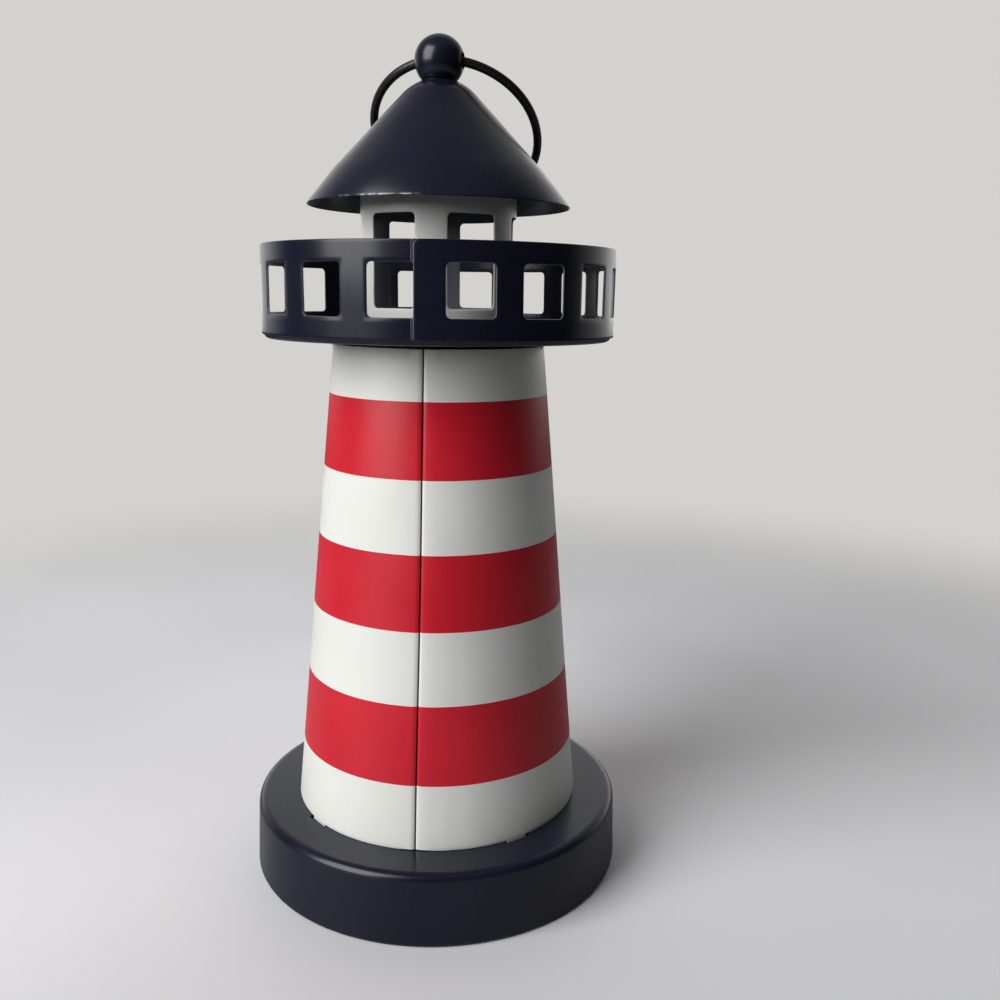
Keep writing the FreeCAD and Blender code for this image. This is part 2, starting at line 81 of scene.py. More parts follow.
# Sheet, and how its cut edges are rounded on the outer and on the inner skin
SHEET = 0.5 * MM
OUTER_ROUND = 0.28 * MM
INNER_ROUND = 0.12 * MM

# Tower: a cone, with tabs bent under the base and over the gallery floor
BASE_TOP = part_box("base_pan")[1].z
BASE_SHEET = 0.6 * MM
TOWER_TOP = 153.5 * MM
TOWER_BOTTOM_RADIUS = 41.8 * MM
TOWER_TOP_RADIUS = 29.6 * MM
BASE_TABS = [math.radians(a) for a in (-53.7, 31.3, 126.3, 211.3)]
TAB_WIDTH = 6.0 * MM
TAB_LEG = 4.5 * MM
TAB_BEND = 0.75 * MM
TAB_GAP = 0.05 * MM
TOP_TAB_BEND = 0.25 * MM
SHOULDER_WIDTH = 10.0 * MM
SHOULDER_DROP = 0.3 * MM

# Heights of the tower's three red bands, bottom and top
RED_BANDS = [(38.3 * MM, 60.1 * MM), (80.0 * MM, 100.4 * MM), (119.9 * MM, 140.1 * MM)]

# The tower's seam, which drifts a little left towards the foot. Left of it the sheet turns down
# into a groove, which ends in a cleft; right of it the sheet is folded back over a rounded edge
# and sinks a little towards it. The fold inside reaches FOLD_DEPTH below the cone.
SEAM_AZIMUTH = math.radians(-7.6)
SEAM_DRIFT = 0.6 * MM
SEAM_STRAIGHT_ABOVE = 105 * MM
SEAM_CLEAR = math.radians(18)
GROOVE_RUN = 1.5 * MM
GROOVE_DEPTH = 0.5 * MM
CLEFT_EDGES = (-0.3 * MM, -0.1 * MM)
CLEFT_DEPTH = 0.45 * MM
EDGE_RUN = 0.9 * MM
EDGE_DEPTH = 0.5 * MM
SINK_RUN = 3.2 * MM
SINK_DEPTH = 0.2 * MM
FOLD_EDGES = (3.4 * MM, 4.2 * MM)
FOLD_DEPTH = 1.5 * MM
TOP_TABS = [SEAM_AZIMUTH + math.radians(90 * i) for i in (1, 2, 3)]

# Gallery band: a strip rolled round and lapped, with a ridge pressed beside its lap. The place of
# its first window counts from the lap, towards +X at the front.
RAIL_LOW, RAIL_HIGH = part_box("gallery_railing")
RAIL_RADIUS = RAIL_HIGH.x - SHEET / 2
RAIL_LAP_AZIMUTH = math.radians(-7.1)
RAIL_OVERLAP = math.radians(8.4)
RAIL_CORNER = 1.4 * MM
RAIL_WINDOWS = 16
RAIL_WINDOW = (12.0 * MM, 12.9 * MM)
RAIL_FIRST_WINDOW = math.radians(16.0)
RAIL_SILL = 5.5 * MM
RAIL_RIDGE = 0.5 * MM
RIDGE_HALF_WIDTH = 0.15 * MM
RIDGE_HEIGHT = 0.15 * MM
RIDGE_SPANS = [(0.4 * MM, 4.9 * MM), (19.0 * MM, 23.2 * MM)]
FLOOR_UNDER = RAIL_LOW.z - 1.1 * MM

# Lantern room: another such strip, lapped at the back, with tabs bent under the gallery floor
ROOM_LOW = 153.5 * MM
ROOM_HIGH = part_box("lantern_room")[1].z
ROOM_RADIUS = 21.5 * MM
ROOM_LAP_AZIMUTH = math.radians(172.3)
ROOM_OVERLAP = math.radians(12.8)
ROOM_CORNER = 0.6 * MM
ROOM_WINDOWS = 6
ROOM_WINDOW = (13.9 * MM, 24.4 * MM)
ROOM_FIRST_WINDOW = math.radians(32)
ROOM_SILL = 9.9 * MM
ROOM_TABS = [math.radians(a) for a in (56.6, 176.6, 296.6)]
PLATEAU_SINK = 2.0 * MM
WINDOW_CORNER = 1.2 * MM

# Roof
ROOF_LOW, ROOF_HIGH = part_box("roof_cone")
ROOF_LIP_SLANT = 11.3 * MM
ROOF_LIP_SLOPE = math.radians(51.2)
ROOF_SLOPE = math.radians(46.9)
ROOF_LIP_BEND = 30.0 * MM
ROOF_DOME_RADIUS = 14.0 * MM
RIM_INSET = 0.2 * MM
NECK_RADIUS = 4.8 * MM
NECK_FILLET = 0.3 * MM

# Ring
BALL_RADIUS = 6.85 * MM
BALL_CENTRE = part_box("finial_ball")[1].z - BALL_RADIUS
RING_RADIUS = 23.8 * MM
WIRE_RADIUS = 1.22 * MM
WIRE_BOW = 0.5035 * MM
WIRE_EDGE = 0.15 * MM
RING_JOINT_GAP = 0.25 * MM
RING_TWIST = math.radians(16.0)
RING_LEAN = math.radians(45.93)

# ---------------------------------------------------------------- colours


def srgb(red, green, blue):
    """A linear colour from 8-bit display values."""
    def linear(value):
        share = value / 255
        return share / 12.92 if share <= 0.04045 else ((share + 0.055) / 1.055) ** 2.4
    return (linear(red), linear(green), linear(blue), 1.0)


# Each paint wanders between two tones
NAVY = (srgb(18, 21, 37), srgb(25, 28, 45))
WHITE = (srgb(234, 234, 228), srgb(240, 240, 235))
RED = (srgb(203, 24, 42), srgb(212, 32, 50))
BLACK = (srgb(19, 19, 22), srgb(26, 26, 29))
ZINC = (srgb(168, 168, 165), srgb(196, 197, 196))
FLOOR = (srgb(252, 252, 254), srgb(233, 233, 236))
BACKDROP = srgb(212, 210, 206)

ROOM_PRIMER = srgb(150, 155, 160)
ROOF_PRIMER = srgb(84, 86, 92)
DUST_ON_NAVY = srgb(120, 122, 130)
DUST_ON_WHITE = srgb(120, 114, 106)
# The seam's groove: painted shade, with some grime
SEAM_SHADE_AND_GRIME = srgb(48, 40, 40)
# Painted highlight on the punched edges of the band's windows
CUT_EDGE_HIGHLIGHT = srgb(100, 102, 108)
# Thin paint and a painted highlight along the band's lap
LAP_THIN_PAINT_AND_HIGHLIGHT = srgb(112, 114, 120)
BARE_STEEL = srgb(140, 142, 148)

# What the floor throws back on the lantern, near it and far from it
NEAR_BOUNCE = srgb(170, 170, 172)
FAR_BOUNCE = srgb(30, 30, 30)

# ---------------------------------------------------------------- materials


class Tree:
    """A node tree, with short ways to add to it."""

    def __init__(self, tree):
        self.tree = tree

    def give(self, socket, value):
        """Link another node's output to a socket, or set its value; None leaves it."""
        if isinstance(value, bpy.types.NodeSocket):
            self.tree.links.new(value, socket)
        elif value is not None:
            socket.default_value = value

    def add(self, kind, *inputs, **settings):
        """The outputs of a new node of this kind, with its inputs in order."""
        node = self.tree.nodes.new("ShaderNode" + kind)
        for key, value in settings.items():
            setattr(node, key, value)
        for socket, value in zip(node.inputs, inputs):
            self.give(socket, value)
        return node.outputs

    def math(self, operation, *inputs):
        return self.add("Math", *inputs, operation=operation)[0]

    def product(self, share, *others):
        for other in others:
            share = self.math("MULTIPLY", share, other)
        return share

    def ramp(self, value, low, high, to_low=0.0, to_high=1.0, curve="LINEAR"):
        """The value's run from low to high, mapped to another range and held beyond it."""
        return self.add("MapRange", value, low, high, to_low, to_high, interpolation_type=curve)[0]

    def step(self, value, low, high, to_low=0.0, to_high=1.0):
        """The same, with an easy start and end."""
        return self.ramp(value, low, high, to_low, to_high, "SMOOTHSTEP")


class Paint(Tree):
    """A material with a Principled shader, and the places on the lantern that its nodes use."""

    def __init__(self, name, roughness, metallic=0.0, specular=0.5):
        self.material = bpy.data.materials.new(name)
        self.material.use_nodes = True
        super().__init__(self.material.node_tree)
        self.shader = self.tree.nodes["Principled BSDF"]
        self.shader.inputs["Metallic"].default_value = metallic
        self.shader.inputs["Roughness"].default_value = roughness
        self.shader.inputs["Specular IOR Level"].default_value = specular
        coordinates = self.add("TexCoord")
        self.place = coordinates["Object"]
        self.facing = coordinates["Normal"]
        self.x, self.y, self.z = self.add("SeparateXYZ", self.place)
        self.flat = self.add("VectorMath", self.place, (1, 1, 0), operation="MULTIPLY")[0]
        self.from_axis = self.add("VectorMath", self.flat, operation="LENGTH")[1]

    def set(self, name, output):
        self.tree.links.new(output, self.shader.inputs[name])

    def noise(self, scale, detail=2.0):
        return self.add("TexNoise", self.place, None, scale, detail)[0]

    def cloud(self, scale, detail=2.0, low=0.0, high=1.0):
        """Noise that is spread out from low to high."""
        return self.step(self.noise(scale, detail), 0.3, 0.7, low, high)

    def mix(self, share, first, second):
        """Colour first turning into second by this share."""
        node = self.tree.nodes.new("ShaderNodeMix")
        node.data_type = "RGBA"
        for name, value in (("Factor_Float", share), ("A_Color", first), ("B_Color", second)):
            self.give(next(s for s in node.inputs if s.identifier == name), value)
        return next(s for s in node.outputs if s.identifier == "Result_Color")

    def bump(self, height, distance, strength):
        """A bump of this real height, in metres."""
        node = self.tree.nodes.new("ShaderNodeBump")
        node.inputs["Strength"].default_value = strength
        node.inputs["Distance"].default_value = distance
        self.tree.links.new(height, node.inputs["Height"])
        self.set("Normal", node.outputs[0])


def enamel(name, roughness, specular, colour_of):
    """Sprayed enamel: this colour, a faint orange peel and an uneven gloss."""
    paint = Paint(name, roughness, specular=specular)
    paint.set("Base Color", colour_of(paint))
    slow = paint.cloud(60.0, low=roughness - 0.03, high=roughness + 0.04)
    grain = paint.cloud(2500.0, 1.0, -0.01, 0.01)
    paint.set("Roughness", paint.math("ADD", slow, grain))
    paint.bump(paint.noise(500.0, 1.0), 0.02 * MM, 0.12)
    return paint


def tone_share(paint, scale):
    """A slow unevenness with a fine grain in it."""
    slow = paint.cloud(scale, high=0.85)
    grain = paint.cloud(1800.0, 1.0, high=0.15)
    return paint.math("ADD", slow, grain)


def specks(paint, colour, dust, scale, amount):
    """Sparse dust nibs of another colour over this one, an eighth of a millimetre in radius."""
    cells = paint.add("TexVoronoi", paint.place, None, scale)
    lucky = paint.math("LESS_THAN", paint.add("SeparateColor", cells[1])[0], amount)
    radius = 0.13 * MM * scale
    near = paint.step(cells[0], radius / 2, radius, 1.0, 0.0)
    return paint.mix(paint.product(near, lucky), colour, dust)


def outside_share(paint):
    """1 where the surface faces away from the tower's axis, 0 where it faces the axis."""
    dot = paint.add("VectorMath", paint.flat, paint.facing, operation="DOT_PRODUCT")[1]
    return paint.math("GREATER_THAN", dot, 0.0)


def rubbed_rim(paint):
    """Where the paint is rubbed through to the steel, along the front left of the roof's rim."""
    broken = paint.step(paint.noise(500.0, 4.0), 0.42, 0.6)
    low = paint.step(paint.z, ROOF_LOW.z + 0.35 * MM, ROOF_LOW.z + 0.9 * MM, 1.0, 0.0)
    roof = paint.math("GREATER_THAN", paint.z, ROOF_LOW.z)
    rim = paint.math("GREATER_THAN", paint.from_axis, 35.0 * MM)
    front = paint.step(paint.y, -34.0 * MM, -21.0 * MM, 1.0, 0.0)
    left = paint.step(paint.x, -7.0 * MM, -4.0 * MM, 1.0, 0.0)
    return paint.product(broken, low, roof, rim, front, left)


def lap_wear_and_highlight(paint):
    """Thin paint and a painted highlight at the band's lap: on the upper sheet's edge, and on the
    ridge pressed beside it, where they catch the light.
    """
    edge = RAIL_HIGH.x * math.sin(RAIL_LAP_AZIMUTH)
    beside = (RAIL_HIGH.x - SHEET) * math.sin(RAIL_LAP_AZIMUTH - RAIL_RIDGE / RAIL_RADIUS)
    off = paint.math("ABSOLUTE", paint.math("SUBTRACT", paint.x, (edge + beside) / 2))
    line = paint.math("ABSOLUTE", paint.math("SUBTRACT", off, (edge - beside) / 2))
    share = paint.step(line, 0.05 * MM, 0.14 * MM, 1.0, 0.0)
    front = paint.math("LESS_THAN", paint.y, -47.7 * MM)
    above = paint.step(paint.z, RAIL_LOW.z + 0.2 * MM, RAIL_LOW.z + 0.8 * MM)
    return paint.product(share, front, above)


def cut_edge_highlight(paint):
    """A painted highlight: pale colour on the punched edges of the band's windows, which face neither
    out nor in.
    """
    outwards = paint.add("VectorMath", paint.flat, operation="NORMALIZE")[0]
    dot = paint.add("VectorMath", outwards, paint.facing, operation="DOT_PRODUCT")[1]
    share = paint.step(paint.math("ABSOLUTE", dot), 0.5, 0.85, 1.0, 0.0)
    above = paint.math("GREATER_THAN", paint.z, RAIL_LOW.z + 2.0 * MM)
    below = paint.math("LESS_THAN", paint.z, RAIL_HIGH.z - 2.0 * MM)
    band = paint.math("GREATER_THAN", paint.from_axis, 48.0 * MM)
    return paint.product(share, above, below, band)


def inside_roof(paint):
    roof = paint.math("GREATER_THAN", paint.z, ROOF_LOW.z)
    return paint.product(roof, paint.math("SUBTRACT", 1.0, outside_share(paint)))


def navy_colour(paint):
    """Navy with dust, thin paint and a painted highlight at the lap, painted highlights on cut edges,
    and primer inside the roof.
    """
    colour = paint.mix(tone_share(paint, 25.0), *NAVY)
    colour = specks(paint, colour, DUST_ON_NAVY, 170.0, 0.05)
    colour = paint.mix(cut_edge_highlight(paint), colour, CUT_EDGE_HIGHLIGHT)
    colour = paint.mix(lap_wear_and_highlight(paint), colour, LAP_THIN_PAINT_AND_HIGHLIGHT)
    return paint.mix(inside_roof(paint), colour, ROOF_PRIMER)


def navy_enamel():
    """Navy enamel, rubbed through to the steel along a part of the roof's rim."""
    paint = enamel("navy_enamel", 0.25, 0.42, navy_colour)
    painted = paint.shader.inputs["Base Color"].links[0].from_socket
    rubbed = rubbed_rim(paint)
    paint.set("Base Color", paint.mix(rubbed, painted, BARE_STEEL))
    paint.set("Metallic", paint.product(rubbed, 0.5))
    return paint.material


def white_colour(paint):
    colour = paint.mix(tone_share(paint, 30.0), *WHITE)
    return specks(paint, colour, DUST_ON_WHITE, 150.0, 0.03)


def seam_line(paint):
    """Painted shade, with some grime, in the groove of the tower's seam, just left of the folded edge.
    """
    across = (math.cos(SEAM_AZIMUTH), math.sin(SEAM_AZIMUTH), 0)
    off = paint.add("VectorMath", paint.place, across, operation="DOT_PRODUCT")[1]
    centre = 0.12 * MM
    drift = paint.step(paint.z, BASE_TOP, SEAM_STRAIGHT_ABOVE, SEAM_DRIFT + centre, centre)
    line = paint.math("ABSOLUTE", paint.math("ADD", off, drift))
    share = paint.step(line, 0.12 * MM, 0.34 * MM, 0.85, 0.0)
    return paint.product(share, paint.math("LESS_THAN", paint.y, 0.0))


def striped_colour(paint):
    """White with the red bands printed round it, and the seam's dark line of painted shade and grime.
    """
    wander = paint.step(paint.noise(80.0), 0.0, 1.0, -0.06 * MM, 0.06 * MM)
    level = paint.math("ADD", paint.z, wander)
    red = paint.mix(tone_share(paint, 30.0), *RED)
    colour = white_colour(paint)
    blur = 0.05 * MM
    for bottom, top in RED_BANDS:
        above = paint.step(level, bottom - blur, bottom + blur)
        below = paint.step(level, top - blur, top + blur, 1.0, 0.0)
        colour = paint.mix(paint.product(above, below), colour, red)
    return paint.mix(seam_line(paint), colour, SEAM_SHADE_AND_GRIME)


def room_colour(paint):
    """White outside, grey primer inside."""
    return paint.mix(outside_share(paint), ROOM_PRIMER, white_colour(paint))


def wire_colour(paint):
    return paint.mix(tone_share(paint, 60.0), *BLACK)


def zinc():
    """Zinc plate, cloudy and unevenly bright."""
    paint = Paint("zinc_steel", 0.35, metallic=1.0)
    paint.set("Base Color", paint.mix(paint.cloud(300.0, 4.0), *ZINC))
    paint.set("Roughness", paint.cloud(800.0, low=0.25, high=0.45))
    paint.bump(paint.noise(1500.0), 0.01 * MM, 0.3)
    return paint.material


MATERIALS = {
    "navy_enamel": navy_enamel(),
    "striped_enamel": enamel("striped_enamel", 0.38, 0.42, striped_colour).material,
    "white_enamel": enamel("white_enamel", 0.38, 0.42, room_colour).material,
    "black_wire": enamel("black_wire", 0.36, 0.45, wire_colour).material,
    "zinc_steel": zinc(),
}

# ---------------------------------------------------------------- ways of making meshes

SHARP_EDGE = math.radians(40)

# How finely the shapes are split
BEND_STEP = math.radians(6)
ROUND_END_STEPS = 4
WALL_LEVELS = 30
WALL_COLUMNS = 162
ROOF_SEGMENTS = 320
DOME_STEPS = 12
RING_STEPS = 192
WIRE_POINTS = 24
RIDGE_LEVELS = 10
RIDGE_STEPS = 6


def spread(low, high, count):
    """Evenly spaced values from low to high, both included."""
    return [low + (high - low) * i / count for i in range(count + 1)]


def on_circle(azimuth, radius, z):
    """A point at this azimuth and distance from the tower's axis."""
    return Vector((radius * math.sin(azimuth), -radius * math.cos(azimuth), z))


def smooth(value, low, high):
    """0 below low and 1 above high, with an easy run between."""
    share = min(max((value - low) / (high - low), 0.0), 1.0)
    return share * share * (3 - 2 * share)


class Skin:
    """The points and faces of one mesh, gathered row by row."""

    def __init__(self):
        self.mesh = bmesh.new()

    def row(self, points):
        return [self.mesh.verts.new(point) for point in points]

    def face(self, corners):
        if len(set(corners)) == len(corners):
            self.mesh.faces.new(corners)

    def join(self, first, second, closed=False):
        """Quads between two rows of the same length."""
        count = len(first) if closed else len(first) - 1
        for i in range(count):
            j = (i + 1) % len(first)
            self.face([first[i], first[j], second[j], second[i]])

    def join_rows(self, rows, closed=False, round_again=False):
        pairs = list(zip(rows, rows[1:]))
        if round_again:
            pairs.append((rows[-1], rows[0]))
        for first, second in pairs:
            self.join(first, second, closed)

    def rod(self, rows):
        """Closed sections joined one to the next, with a face on each end."""
        self.join_rows(rows, closed=True)
        self.face(rows[0])
        self.face(rows[-1])

    def piece(self, name, node):
        """The finished object, which stands for this CAD node and rides where it does."""
        bmesh.ops.remove_doubles(self.mesh, verts=self.mesh.verts, dist=1e-7)
        bmesh.ops.recalc_face_normals(self.mesh, faces=self.mesh.faces)
        data = bpy.data.meshes.new(name)
        self.mesh.to_mesh(data)
        self.mesh.free()
        data.shade_smooth()
        data.set_sharp_from_angle(angle=SHARP_EDGE)
        obj = bpy.data.objects.new(name, data)
        bpy.context.scene.collection.objects.link(obj)
        slot = SLOTS[node]
        data.materials.append(MATERIALS[slot])
        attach(obj, NODES[node]["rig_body"])
        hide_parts(node)


def rounded_line(corners, radii):
    """Points along a bent line in a plane, and the left normal at each."""
    points = []
    normals = []

    def add(point, direction):
        points.append(point)
        normals.append(Vector((-direction.y, direction.x)))

    corners = [Vector(corner) for corner in corners]
    add(corners[0], (corners[1] - corners[0]).normalized())
    for before, corner, after, radius in zip(corners, corners[1:], corners[2:], radii):
        into = (corner - before).normalized()
        out = (after - corner).normalized()
        turn = into.angle_signed(out)
        run = radius * math.tan(abs(turn) / 2)
        start = corner - into * run
        side = -1 if turn > 0 else 1
        centre = start + Vector((-into.y, into.x)) * radius * side
        steps = max(2, math.ceil(abs(turn) / BEND_STEP))
        for i in range(steps + 1):
            spin = Matrix.Rotation(-turn * i / steps, 2)
            add(centre + spin @ (start - centre), spin @ into)
    add(corners[-1], (corners[-1] - corners[-2]).normalized())
    return points, normals


def round_end(start, end, outwards, reach=None):
    """Points of the rounded edge of a sheet, between its two skins."""
    middle = (start + end) / 2
    arm = start - middle
    reach = outwards * (reach or arm.length)
    angles = spread(0, math.pi, ROUND_END_STEPS)[1:-1]
    return [middle + arm * math.cos(a) + reach * math.sin(a) for a in angles]


def sheet_loop(corners, radii):
    """Closed section of a bent sheet that lies to the left of this line, its edges round."""
    skin, normals = rounded_line(corners, radii)
    back = [point + normal * SHEET for point, normal in zip(skin, normals)]
    last_way = Vector((normals[-1].y, -normals[-1].x))
    first_way = Vector((-normals[0].y, normals[0].x))
    return (
        skin
        + round_end(skin[-1], back[-1], last_way)
        + back[::-1]
        + round_end(back[0], skin[0], first_way)
    )


def bent_strip(skin, corners, radii, width, azimuth):
    """A narrow bent tab: a section in the radius-height plane, drawn out sideways."""
    loop = sheet_loop(corners, radii)
    across = Vector((math.cos(azimuth), math.sin(azimuth), 0))
    rows = []
    for side in (-1, 1):
        points = [on_circle(azimuth, p.x, p.y) + across * side * width / 2 for p in loop]
        rows.append(skin.row(points))
    skin.rod(rows)


# ---------------------------------------------------------------- windowed strips

CORNER_SPLITS = 3
CORNER_POINTS = 2 * CORNER_SPLITS - 1
MIDDLE_SPLITS = 8
ROUNDING_STEPS = 3


def corner_ring(low, high, radius, grow, straight_u, straight_v):
    """A rounded rectangle, counter-clockwise, with CORNER_POINTS points on each corner."""
    (u0, v0), (u1, v1) = low, high
    arc = max(radius + grow, 1e-6)
    turns = spread(0, math.pi / 2, CORNER_POINTS - 1)

    def corner(u, v, start):
        return [(u + arc * math.cos(start + t), v + arc * math.sin(start + t)) for t in turns]

    return (
        [(u, v0 - grow) for u in straight_u]
        + corner(u1 - radius, v0 + radius, -math.pi / 2)
        + [(u1 + grow, v) for v in straight_v]
        + corner(u1 - radius, v1 - radius, 0)
        + [(u, v1 + grow) for u in straight_u[::-1]]
        + corner(u0 + radius, v1 - radius, math.pi / 2)
        + [(u0 - grow, v) for v in straight_v[::-1]]
        + corner(u0 + radius, v0 + radius, math.pi)
    )


def block_path(i0, i1, j0, j1):
    """Grid indices round a block, in the order of corner_ring's points."""
    bottom = [(i, j0) for i in range(i0, i1)]
    right = [(i1, j) for j in range(j0, j1)]
    top = [(i, j1) for i in range(i1, i0, -1)]
    left = [(i0, j) for j in range(j1, j0, -1)]
    return bottom[CORNER_SPLITS:] + right + top + left + bottom[:CORNER_SPLITS]


def edge_rings(grow_of):
    """How far each ring round a cut edge lies from it, and its depth, outer skin to inner."""
    def rounding(radius):
        angles = spread(0, math.pi / 2, ROUNDING_STEPS)
        grows = [radius * (1 - math.sin(a)) for a in angles]
        depths = [SHEET / 2 - radius * (1 - math.cos(a)) for a in angles]
        return list(zip(grows, depths))

    inner = [(grow, -depth) for grow, depth in rounding(INNER_ROUND)[::-1]]
    return [(grow_of * grow, depth) for grow, depth in rounding(OUTER_ROUND) + inner]


class Strip:
    """A flat strip with rounded windows, drawn on a grid of lines and then bent to shape.
    Lines gather in a margin along its edges, and within a short reach of each window."""

    def __init__(self, size, corner, window, starts, sill, margin, reach, splits):
        self.size = size
        self.corner = corner
        self.window = window
        self.starts = starts
        self.sill = sill
        self.margin = margin
        self.reach = reach
        self.splits = splits
        self.lines_u, self.blocks = self.lines(size[0], starts, window[0])
        self.lines_v, (self.block_v,) = self.lines(size[1], [sill], window[1])

    def lines(self, length, starts, width):
        """Grid lines one way, and the first and last line of each window's block."""
        near_edge = spread(self.margin, self.margin + max(self.corner, self.margin), CORNER_SPLITS)
        far_edge = [length - x for x in near_edge[::-1]]
        lines = list(near_edge)
        blocks = []
        for start in starts:
            lines += spread(lines[-1], start - self.reach, self.splits)[1:]
            first = len(lines) - 1
            lines += self.window_lines(start - self.reach, start + width + self.reach)
            blocks.append((first, len(lines) - 1))
        lines += spread(lines[-1], far_edge[0], self.splits)[1:] + far_edge[1:]
        return lines, blocks

    def window_lines(self, low, high):
        """Lines of a window's block after its first, close together where its corners are."""
        zone = self.reach + 1.25 * WINDOW_CORNER
        near = spread(low, low + zone, CORNER_SPLITS)
        far = spread(high - zone, high, CORNER_SPLITS)
        return near[1:] + spread(near[-1], far[0], MIDDLE_SPLITS)[1:] + far[1:]

    def build(self, skin, bend):
        """Make the strip's two skins and its edges, each point placed by bend(u, v, depth)."""
        grid = {}
        last_i = len(self.lines_u) - 1
        last_j = len(self.lines_v) - 1
        for side in (1, -1):
            for i, u in enumerate(self.lines_u):
                for j, v in enumerate(self.lines_v):
                    if not self.in_window(i, j):
                        grid[side, i, j] = skin.mesh.verts.new(bend(u, v, side * SHEET / 2))
            for i in range(last_i):
                for j in range(last_j):
                    if not self.over_window(i, j):
                        around = [(i, j), (i + 1, j), (i + 1, j + 1), (i, j + 1)]
                        skin.face([grid[side, a, b] for a, b in around])
        self.edge(skin, bend, grid, (0, last_i, 0, last_j), (0, 0), self.size, self.corner, -1)
        for start, block in zip(self.starts, self.blocks):
            low = (start, self.sill)
            high = (start + self.window[0], self.sill + self.window[1])
            self.edge(skin, bend, grid, (*block, *self.block_v), low, high, WINDOW_CORNER, 1)

    def edge(self, skin, bend, grid, block, low, high, radius, grow_of):
        """The rounded edge between the two skins, round this block of the grid."""
        i0, i1, j0, j1 = block
        straight_u = self.lines_u[i0 + CORNER_SPLITS:i1 - CORNER_SPLITS + 1]
        straight_v = self.lines_v[j0 + CORNER_SPLITS:j1 - CORNER_SPLITS + 1]
        path = block_path(i0, i1, j0, j1)
        rows = [[grid[1, i, j] for i, j in path]]
        for grow, depth in edge_rings(grow_of):
            ring = corner_ring(low, high, radius, grow, straight_u, straight_v)
            rows.append(skin.row([bend(u, v, depth) for u, v in ring]))
        rows.append([grid[-1, i, j] for i, j in path])
        skin.join_rows(rows, closed=True)

    def in_window(self, i, j):
        """Whether a grid point lies strictly inside a window's block."""
        inside_v = self.block_v[0] < j < self.block_v[1]
        return inside_v and any(i0 < i < i1 for i0, i1 in self.blocks)

    def over_window(self, i, j):
        """Whether a grid cell belongs to a window's block."""
        inside_v = self.block_v[0] <= j < self.block_v[1]
        return inside_v and any(i0 <= i < i1 for i0, i1 in self.blocks)


def window_starts(count, first, radius, width):
    """Where each window begins on a strip; first is the turn from the lap to the first's middle."""
    pitch = 2 * math.pi / count
    return [(first + i * pitch) * radius - width / 2 for i in range(count)]


def rolled(radius, lap_azimuth, bottom, waviness):
    """How a strip is rolled: its start on top, its end one sheet further in, below the start."""
    def bend(u, v, depth):
        turn = u / radius
        inward = SHEET * min(turn / (2 * math.pi), 1.0)
        return on_circle(lap_azimuth + turn, radius - inward + depth + waviness(turn, v), bottom + v)
    return bend


def ridge(skin, bend, u, low, high):
    """A fine upright ridge on a strip's outer skin, where the sheet under the lap was pressed."""
    root = 0.02 * MM
    section = [(t, SHEET / 2 + RIDGE_HEIGHT * (1 - t * t) - root) for t in spread(-1, 1, RIDGE_STEPS)]
    section += [(1, SHEET / 4), (-1, SHEET / 4)]
    rows = []
    for v in spread(low, high, RIDGE_LEVELS):
        rows.append(skin.row([bend(u + RIDGE_HALF_WIDTH * t, v, depth) for t, depth in section]))
    skin.rod(rows)


# ---------------------------------------------------------------- pieces


def gallery_railing():
    """The band with its sixteen windows, lapped at the front."""
    starts = window_starts(RAIL_WINDOWS, RAIL_FIRST_WINDOW, RAIL_RADIUS, RAIL_WINDOW[0])
    size = (RAIL_RADIUS * (2 * math.pi + RAIL_OVERLAP), RAIL_HIGH.z - RAIL_LOW.z)
    strip = Strip(size, RAIL_CORNER, RAIL_WINDOW, starts, RAIL_SILL,
                  margin=0.8 * MM, reach=1.2 * MM, splits=4)

    def waviness(turn, v):
        """The band stands a little proud beside each window, and rolls unevenly."""
        proud = 0.05 * MM * math.cos(RAIL_WINDOWS * turn)
        return proud + 0.06 * MM * math.sin(3 * turn + 9 * v / RAIL_RADIUS)

    skin = Skin()
    bend = rolled(RAIL_RADIUS, RAIL_LAP_AZIMUTH, RAIL_LOW.z, waviness)
    strip.build(skin, bend)
    for low, high in RIDGE_SPANS:
        ridge(skin, bend, 2 * math.pi * RAIL_RADIUS - RAIL_RIDGE, low, high)
    skin.piece("rail", "gallery_railing")


def lantern_room():
    """The cylinder with its six tall windows, lapped at the back, and its three tabs."""
    starts = window_starts(ROOM_WINDOWS, ROOM_FIRST_WINDOW, ROOM_RADIUS, ROOM_WINDOW[0])
    size = (ROOM_RADIUS * (2 * math.pi + ROOM_OVERLAP), ROOM_HIGH - ROOM_LOW)
    strip = Strip(size, ROOM_CORNER, ROOM_WINDOW, starts, ROOM_SILL,
                  margin=0.6 * MM, reach=1.0 * MM, splits=6)

    def waviness(turn, v):
        proud = 0.05 * MM * math.cos(ROOM_WINDOWS * turn)
        return proud + 0.04 * MM * math.sin(2 * turn + 6 * v / ROOM_RADIUS)

    skin = Skin()
    strip.build(skin, rolled(ROOM_RADIUS, ROOM_LAP_AZIMUTH, ROOM_LOW, waviness))
    outer = ROOM_RADIUS + SHEET / 2
    under = FLOOR_UNDER - PLATEAU_SINK - TAB_GAP - SHEET
    line = [(outer - TAB_LEG, under), (outer, under), (outer, ROOM_LOW + SHEET)]
    for azimuth in ROOM_TABS:
        bent_strip(skin, line, [TAB_BEND], TAB_WIDTH, azimuth)
    skin.piece("room", "lantern_room")


